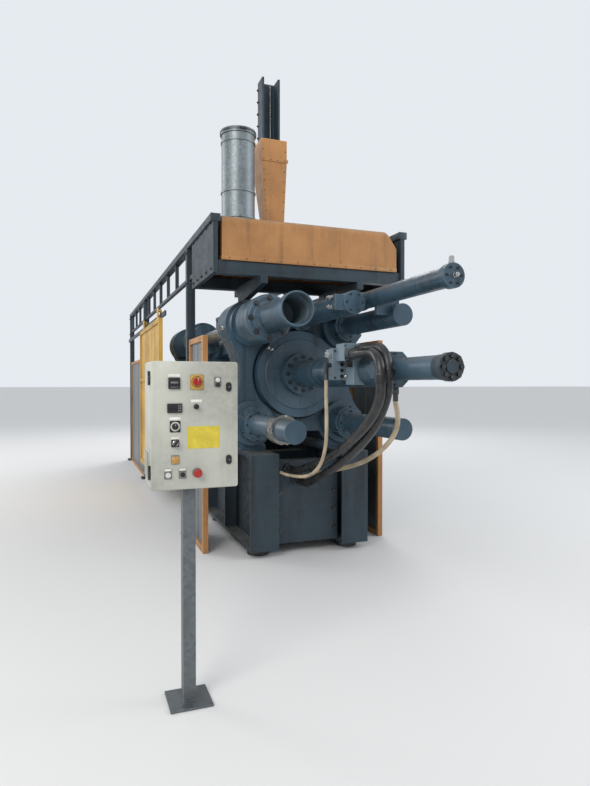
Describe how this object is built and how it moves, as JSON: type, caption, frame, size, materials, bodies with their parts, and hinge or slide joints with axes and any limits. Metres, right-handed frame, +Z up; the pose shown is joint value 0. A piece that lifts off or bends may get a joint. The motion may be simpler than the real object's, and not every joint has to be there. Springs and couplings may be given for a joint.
{
  "type": "die casting machine",
  "caption": "Horizontal cold chamber die casting machine with toggle clamp, closing cylinder, shot end, orange hood, sliding guard door and a control box on a post.",
  "frame": {"origin": "underside of the middle levelling foot, on the floor below the closing axis at the middle of the machine's length", "axes": "+Z up; +Y along the closing axis from the closing cylinder to the shot end; +X to the right seen from the closing cylinder"},
  "size_m": [2.565, 9.6203, 4.29],
  "materials": {
    "machine_paint": "petrol blue machine enamel, greasy, semi-gloss",
    "bed_paint": "darker petrol blue enamel, dull with oil and dust",
    "pale_paint": "lighter blue-grey enamel, semi-gloss",
    "bare_steel": "ground steel with a thin oil film",
    "black_hose": "black hydraulic hose, satin",
    "pale_hose": "yellowish grey hose, dull",
    "orange_paint": "muted orange enamel on sheet metal, dusty",
    "yellow_paint": "warm yellow enamel, worn",
    "galvanised": "galvanised sheet, dull grey",
    "box_paint": "light grey powder coat",
    "black_plastic": "black moulded instruments and knobs, satin",
    "red_plastic": "red moulded plastic"
  },
  "bodies": {
    "machine": {"bed_beam_left": "bed_paint", "bed_beam_right": "bed_paint", "bed_cross_members": "bed_paint", "levelling_feet": "bare_steel", "rear_platen": "machine_paint", "moving_platen": "machine_paint", "fixed_platen": "machine_paint", "tie_bars": "bare_steel", "tie_bar_nuts": "bare_steel", "bar_covers": "pale_paint", "bar_puller": "machine_paint", "closing_cylinder": "machine_paint", "cylinder_tail": "pale_paint", "upper_cylinder": "machine_paint", "side_cylinder": "machine_paint", "valve_block": "pale_paint", "port_block": "bed_paint", "closing_rod": "bare_steel", "crosshead": "bed_paint", "rear_links": "machine_paint", "front_links": "machine_paint", "short_links": "machine_paint", "toggle_pins": "bare_steel", "ejector_cylinder": "pale_paint", "hose_fittings": "bed_paint", "hose_outer": "black_hose", "hose_inner": "black_hose", "hose_pale_left": "pale_hose", "hose_pale_right": "pale_hose", "top_hood": "orange_paint", "hood_frame": "bed_paint", "duct_spigot": "galvanised", "lift_column": "orange_paint", "lift_mast": "bed_paint", "rail_left": "bed_paint", "rail_right": "bed_paint", "guard_frames": "orange_paint", "guard_sheets": "galvanised", "shot_frame": "machine_paint", "shot_cylinder": "machine_paint", "shot_sleeve": "bare_steel", "shot_rod": "bare_steel", "accumulators": "pale_paint", "oil_tank": "bed_paint", "pump_motor": "pale_paint", "control_post": "galvanised", "control_box": "box_paint"},
    "sliding_door": {"guard_door": "yellow_paint"},
    "box_door": {"control_door": "box_paint", "door_controls": "black_plastic"},
    "switch": {"main_switch": "red_plastic"},
    "stop": {"stop_button": "red_plastic"}
  },
  "joints": [
    {"name": "guard_door_slide", "type": "slide", "parent": "machine", "child": "sliding_door", "axis": [0, 1, 0], "range_m": [0, 2]},
    {"name": "box_door_hinge", "type": "hinge", "parent": "machine", "child": "box_door", "pos_m": [-1.645, -4.795, 1.313], "axis": [0, 0, -1], "range_deg": [0, 110]},
    {"name": "switch_turn", "type": "hinge", "parent": "box_door", "child": "switch", "pos_m": [-1.429, -4.817, 1.514], "axis": [0, -1, 0], "range_deg": [0, 90]},
    {"name": "stop_press", "type": "slide", "parent": "box_door", "child": "stop", "axis": [0, 1, 0], "range_m": [0, 0.004]}
  ]
}
